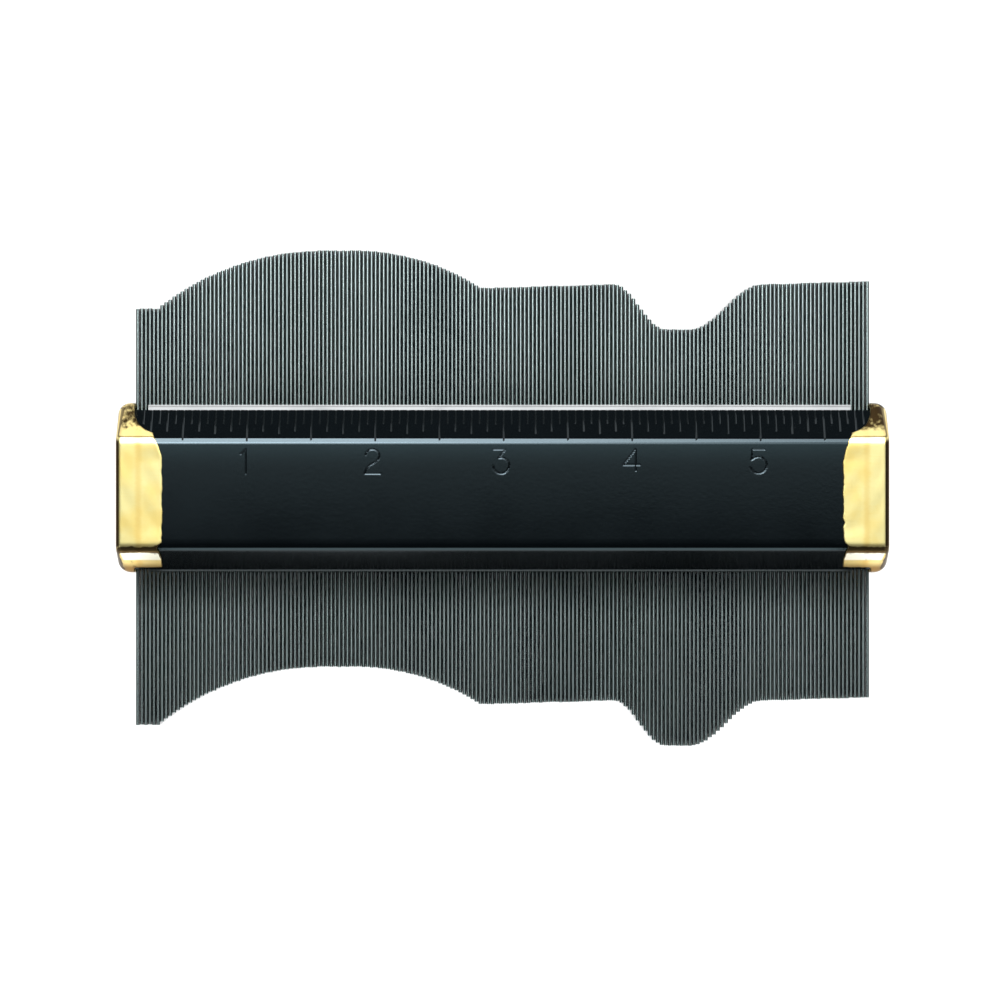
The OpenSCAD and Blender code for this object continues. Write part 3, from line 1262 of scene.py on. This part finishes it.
    def shares(self, first: Corner, second: Corner, angle: float, count: int) -> list[float]:
        """Shares along a straight stretch, with a pair at the foot of the flange.

        Args:
            first: Corner where the stretch starts.
            second: Corner where it ends.
            angle: Direction of its normal.
            count: Number of parts.

        Returns:
            Rising shares between 0 and 1.
        """
        found = [n / count for n in range(1, count)]
        start = first.y + first.radius * math.cos(angle)
        end = second.y + second.radius * math.cos(angle)
        cut = (self.foot - self.section.edge - start) / (end - start)
        if 0.02 < cut < 0.98:
            found = [t for t in found if abs(t - cut) > 0.03] + [cut - 0.004, cut + 0.004]
        return sorted(found)

    @staticmethod
    def placed_at(first: Corner, second: Corner, share: float, angle: float, grown: float) -> Point:
        """A place on the section, drawn in towards the closed end.

        Args:
            first: One corner.
            second: The next corner.
            share: Share of the way between them.
            angle: Direction of the normal.
            grown: 0 on the full section, 1 on the flat of the closed end.

        Returns:
            Y and Z.
        """
        turn = np.array([math.cos(angle), math.sin(angle)])
        a, b = (np.array([c.y, c.z]) + (c.radius - c.edge * grown) * turn for c in (first, second))
        y, z = a + (b - a) * share
        return float(y), float(z)

    def skin_grid(self, inset: float) -> np.ndarray:
        """Vertices of the outer or inner skin.

        Args:
            inset: Distance of the skin from the outer one.

        Returns:
            Grid of places, round the section by along the cap.
        """
        outside = inset == 0
        rounding = np.linspace(0, math.pi / 2, 9)
        spread = [0.04, 0.1, 0.2, 0.3, 0.4, 0.5, 0.6, 0.7, 0.8, 0.87, 0.92, 0.96, 0.985, 1.0]
        grid = []
        for first, second, share, angle in self.stations(inset):
            ny, nz = math.cos(angle), math.sin(angle)
            where = (first, second, share, angle)
            edge = first.edge + (second.edge - first.edge) * share
            row = []
            for a in rounding:
                row.append((inset + edge * (1 - math.cos(a)), *self.placed_at(*where, 1 - math.sin(a))))
            y, z = self.placed_at(*where, 0.0)
            reach = self.limit(y) + self.crimp(y)
            start = inset + edge
            for t in spread:
                depth = start + (reach - start) * t
                sink = self.sunk(depth, y, nz, reach - depth) if outside else 0.0
                row.append((depth, y - ny * sink, z - nz * sink))
            grid.append(row)
        return np.array(grid)

    def sunk(self, depth: float, y: float, nz: float, left: float) -> float:
        """How far the outer skin is pressed in.

        Args:
            depth: Distance from the closed end.
            y: Triple across the gauge.
            nz: Normal's Z, which is 1 or -1 on the flats.
            left: Distance to the free edge.

        Returns:
            Depth of the dent.
        """
        rim = self.rim_break * max(0.0, 1 - left / self.rim_width)
        if abs(nz) < 0.999:
            return rim
        s = self.section
        room = min(s.bend(s.rule_line())[0] - y, y - s.bend(s.plain_line())[0]) / self.dish_fade
        t = min(1.0, max(0.0, (depth - self.crease_depth + self.crease_half) / (2 * self.crease_half)))
        fade, ease = (u * u * (3 - 2 * u) for u in (min(1.0, max(0.0, room)), t))
        dent = self.dish * math.sin(0.9 * y + 1.3 * depth + self.phase) * math.sin(0.7 * depth)
        return rim + fade * (self.crease_fall * ease + self.dish + dent)

    def build(self, material: bpy.types.Material) -> bpy.types.Object:
        """Makes the piece.

        Args:
            material: Its finish.

        Returns:
            The piece, riding on the frame.
        """
        s = self.section
        skin = Skin()
        grids = []
        for inset in (0.0, self.sheet):
            places = self.skin_grid(inset)
            x = self.hand.value * (self.half_length - places[..., 0])
            grids.append(skin.add(s.placed(x, places[..., 1], places[..., 2])))
        outer, inner = (np.vstack([g, g[:1]]) for g in grids)
        if self.hand is Hand.LEFT:
            outer, inner = outer[::-1], inner[::-1]
        skin.sheet(outer)
        skin.sheet(inner[:, ::-1])
        skin.quads(inner[:, -1], outer[:, -1])
        skin.close(outer[:-1, 0])
        skin.close(inner[-2::-1, 0])
        made = skin.piece(f"{self.name()}_stamping", material, 40.0)
        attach(made, BODY)
        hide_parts(self.name())
        return made


@dataclass
class FrictionStrip:
    """An off-white strip with a groove along the edge that shows."""

    section: GaugeSection
    face: Face
    half_length: float = 69.85
    shift: float = -0.6
    column_reach: float = 69.7
    column_count: int = 60
    inside: float = 0.43
    thickness: float = 1.2
    show_rule: float = 0.95
    show_plain: float = 0.4
    rounding: float = 0.1
    groove_place: float = 0.42
    groove_half: float = 0.13
    groove_depth: float = 0.05

    def name(self) -> str:
        """The CAD node that this piece stands for."""
        return f"{self.face.name.lower()}_friction_strip"

    def profile(self) -> list[tuple[float, float, float]]:
        """Section of the strip.

        Returns:
            Y, Z and mark of each corner.
        """
        low, high = -self.section.edge - self.show_plain, self.section.edge + self.show_rule
        back, r = self.inside + self.thickness, self.rounding
        groove = high - self.groove_place
        return [
            (low + r, self.inside, 0.0), (high - r, self.inside, 0.0),
            (high, self.inside + r, 0.0), (high, back - r, 0.0), (high - r, back, 0.0),
            (groove + self.groove_half, back, 0.0),
            (groove, back - self.groove_depth, 1.0),
            (groove - self.groove_half, back, 0.0),
            (low + r, back, 0.0), (low, back - r, 0.0), (low, self.inside + r, 0.0),
        ]

    def build(self, material: bpy.types.Material) -> bpy.types.Object:
        """Makes the piece.

        Args:
            material: Its finish.

        Returns:
            The piece, riding on the frame.
        """
        profile = np.array(self.profile())
        inner = np.linspace(-self.column_reach, self.column_reach, self.column_count)
        xs = np.array([-self.half_length, *inner, self.half_length])
        inset = np.zeros(len(xs))
        inset[[0, -1]] = self.rounding / 2
        middle = profile[:, :2].mean(axis=0)
        toward = np.sign(middle - profile[:, :2])
        y = profile[:, 0, None] + toward[:, 0, None] * inset
        z = profile[:, 1, None] + toward[:, 1, None] * inset
        x = np.repeat(xs[None, :] + self.shift, len(profile), axis=0)
        skin = Skin()
        marks = np.repeat(profile[:, 2, None], len(xs), axis=1)
        grid = skin.add(self.section.placed(x, y, z, self.face), marks)
        skin.tube(grid, self.face is Face.FRONT)
        made = skin.piece(f"{self.name()}_moulding", material)
        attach(made, BODY)
        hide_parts(self.name())
        return made


@dataclass
class InnerWorks:
    """The bars, springs and blocks inside the pressings, which keep their own solids."""

    bar: InnerMetal = InnerMetal("bar_steel", (0.50, 0.51, 0.53), (0.30, 0.29, 0.27), 0.35)
    spring: InnerMetal = InnerMetal("spring_steel", (0.20, 0.23, 0.33), (0.10, 0.10, 0.14), 0.28)
    block: BlockPlastic = BlockPlastic()

    def dress(self) -> list[bpy.types.Object]:
        """Gives each inner node its finish.

        Returns:
            The nodes.
        """
        dressed = []
        for finish, names in (
            (self.bar.material(), ("front_pressure_bar", "rear_pressure_bar")),
            (self.spring.material(), ("front_wave_spring", "rear_wave_spring")),
            (self.block.material(), ("left_end_block", "right_end_block")),
        ):
            dressed += [dress_node(name, finish) for name in names]
        return dressed


@dataclass
class PinComb:
    """The row of sliding pins, which keep their own solids."""

    first: float = -72.62625
    pitch: float = 0.8025

    def dress(self) -> list[bpy.types.Object]:
        """Gives every group of pins its finish.

        Returns:
            The nodes.
        """
        finish = PinSteel(self.first * MM, self.pitch * MM).material()
        names = sorted(name for name in frame["nodes"] if name.startswith("pins_"))
        return [dress_node(name, finish) for name in names]


@dataclass(frozen=True)
class Panel:
    """A soft panel that faces the gauge, with its place and size in metres."""

    name: str
    place: Triple
    size: Point
    glow: float
    tint: Colour = COOL
    reach: Reach = Reach.GAUGE
    fall: float = 0.0
    narrow: float = 0.0

    def hang(self) -> bpy.types.Object:
        """Hangs the panel.

        Returns:
            The light.
        """
        width, height = self.size
        lamp = bpy.data.lights.new(self.name, "AREA")
        lamp.shape = "RECTANGLE"
        lamp.size, lamp.size_y = width, height
        lamp.energy = self.glow * math.pi * width * height
        lamp.color = self.tint
        if self.fall:
            self.fade(lamp)
        made = bpy.data.objects.new(self.name, lamp)
        made.location = self.place
        made.rotation_euler = Vector(self.place).to_track_quat("Z", "Y").to_euler()
        bpy.context.scene.collection.objects.link(made)
        self.reach.bind(made)
        return made

    def fade(self, lamp: bpy.types.Light) -> None:
        """Makes the panel dimmer by fall, and lower by narrow at each edge, towards its right end.

        Args:
            lamp: The panel's light.
        """
        tree = Tree(lamp)
        u, v, _ = tree.split(tree.node("ShaderNodeNewGeometry", None, None, "Parametric"))
        right = 1 - u.ramp(0.2, 0.8)
        inside = 1 - (abs(v - 0.5) + right * self.narrow).ramp(0.44, 0.50)
        strength = (1 - right * right * self.fall) * inside
        glow = tree.node("ShaderNodeEmission", None, {"Strength": strength})
        tree.node("ShaderNodeOutputLight", None, {"Surface": glow})


@dataclass
class Studio:
    """Pale floor, soft lights and a camera that looks straight down."""

    middle: float
    camera_x: float = -0.5
    camera_drop: float = 2.07
    face_level: float = 15.45
    distance: float = 950.0
    floor_half: float = 6.0
    floor_level: float = -0.02

    def floor(self) -> bpy.types.Object:
        """Lays the floor.

        Returns:
            The floor, which is part of the stage.
        """
        h, level = self.floor_half, self.floor_level * MM
        mesh = bpy.data.meshes.new("studio_floor")
        corners = [(-h, -h, level), (h, -h, level), (h, h, level), (-h, h, level)]
        mesh.from_pydata(corners, [], [(0, 1, 2, 3)])
        mesh.materials.append(PaleFloor().material())
        made = bpy.data.objects.new("studio_floor", mesh)
        bpy.context.scene.collection.objects.link(made)
        return made

    def air(self) -> None:
        """Gives the air a dim glow, which the camera sees as pale card."""
        made = bpy.data.worlds.new("studio_air")
        bpy.context.scene.world = made
        tree = Tree(made)
        dim = tree.node("ShaderNodeBackground", None, {"Color": (0.80, 0.90, 1.0, 1.0), "Strength": 0.04})
        pale = tree.node("ShaderNodeBackground", None, {"Color": (0.92, 0.92, 0.92, 1.0)})
        seen = tree.node("ShaderNodeLightPath", out="Is Camera Ray")
        both = tree.node("ShaderNodeMixShader", None, {0: seen, 1: dim, 2: pale})
        tree.node("ShaderNodeOutputWorld", None, {"Surface": both})

    @staticmethod
    def panels() -> list[Panel]:
        """The panels round the gauge.

        Returns:
            Those at the corners, those that fade to the right, and the even ones.
        """
        corners = [
            Panel(f"corner_panel_{n}", (0.5 * sx, 0.5 * sy, 0.375), (0.45, 0.55), 0.8)
            for n, (sx, sy) in enumerate(((1, 1), (-1, 1), (-1, -1), (1, -1)))
        ]
        key, mid, black = (0, 0.357, 0.350), (0, 0.256, 0.758), Reach.CHANNELS
        return corners + [
            Panel("slant_panel", key, (0.42, 0.56), 14, reach=black, fall=0.55, narrow=0.17),
            Panel("brow_panel", mid, (0.50, 0.182), 10.0, reach=black, fall=0.88),
            Panel("bend_panel", (0, 0.165, 0.986), (0.50, 0.120), 5.5, reach=black, fall=0.75),
            Panel("key_panel", key, (0.42, 0.374), 14, reach=Reach.TRIM),
            Panel("mid_panel", mid, (0.50, 0.182), 5.7, (0.88, 0.97, 1), Reach.BRIGHTWORK),
            Panel("rim_panel", (0, 0.60, 0.03), (0.70, 0.100), 0.07, (0.80, 0.95, 1), black),
            Panel("sky_panel", (0, 0.275, 1.300), (2.00, 0.550), 0.78, (0.88, 1, 1)),
            Panel("low_panel", (0, -0.50, 0.165), (0.21, 0.30), 2.0, (0.85, 1, 1), black),
            Panel("cap_panel", (0, -0.50, 0.022), (0.60, 0.040), 12, (1, 1, 1), Reach.CAPS),
        ]

    def lights(self) -> list[bpy.types.Object]:
        """Hangs every panel and the wash."""
        self.air()
        return [panel.hang() for panel in self.panels()] + [self.wash()]

    def wash(self) -> bpy.types.Object:
        """Lights the floor alone from straight above, so that the pale card stays even.

        Returns:
            The light.
        """
        lamp = bpy.data.lights.new("floor_wash", "SUN")
        lamp.energy = 4.2
        lamp.angle = math.radians(8.0)
        made = bpy.data.objects.new("floor_wash", lamp)
        made.location = (0.0, 0.0, 1.5)
        bpy.context.scene.collection.objects.link(made)
        Reach.FLOOR.bind(made)
        return made

    def camera(self) -> bpy.types.Object:
        """Sets the camera above the gauge, as in the photograph.

        Returns:
            The camera.
        """
        lens = bpy.data.cameras.new("studio_camera")
        lens.sensor_width = SENSOR_MM
        lens.lens = SENSOR_MM * self.distance / IMAGE_WIDTH_MM
        lens.clip_start, lens.clip_end = 0.01, 50.0
        made = bpy.data.objects.new("studio_camera", lens)
        y = self.middle - self.camera_drop
        made.location = (self.camera_x * MM, y * MM, (self.face_level + self.distance) * MM)
        bpy.context.scene.collection.objects.link(made)
        bpy.context.scene.camera = made
        return made


def dress_node(name: str, material: bpy.types.Material) -> bpy.types.Object:
    """Gives a CAD node a finish.

    Args:
        name: The node.
        material: The finish.

    Returns:
        The node's object.
    """
    made = frame["nodes"][name]
    made.data.materials.clear()
    made.data.materials.append(material)
    return made


def gauge_section() -> GaugeSection:
    """Reads the frame's centre line and middle plane from the CAD.

    Returns:
        The shared section.
    """
    low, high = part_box("front_channel")
    return GaugeSection((low.y + high.y) / 2 / MM, (CAD_BOX[0].z + CAD_BOX[1].z) / 2 / MM)


def main() -> None:
    """Builds the sub-assemblies in order and reports each piece."""
    logging.basicConfig(level=logging.INFO, format="%(message)s")
    bpy.context.scene.view_settings.view_transform = "Standard"
    section = gauge_section()
    lacquer = BlackLacquer(section.centre_y).material()
    brass = BrassPlate(section.centre_y).material()
    strip = StripPlastic().material()
    pieces = [ChannelPressing(section, face).build(lacquer) for face in Face]
    left_nicks = ((-9.6, 0.35, 0.12), (-11.8, 1.3, 0.45))
    right_nicks = ((-6.6, 0.45, 0.34), (-11.6, 1.5, 0.50), (1.0, 0.22, 0.12), (6.0, 0.25, 0.12))
    pieces.append(EndCap(section, Hand.LEFT, 0.7, left_nicks).build(brass))
    pieces.append(EndCap(section, Hand.RIGHT, 2.1, right_nicks).build(brass))
    pieces += [FrictionStrip(section, face).build(strip) for face in Face]
    pieces += InnerWorks().dress()
    pieces += PinComb().dress()
    studio = Studio(section.centre_y)
    pieces += [studio.floor(), *studio.lights(), studio.camera()]
    for piece in pieces:
        LOG.info("made %s", piece.name)


if __name__ == "__main__":
    main()
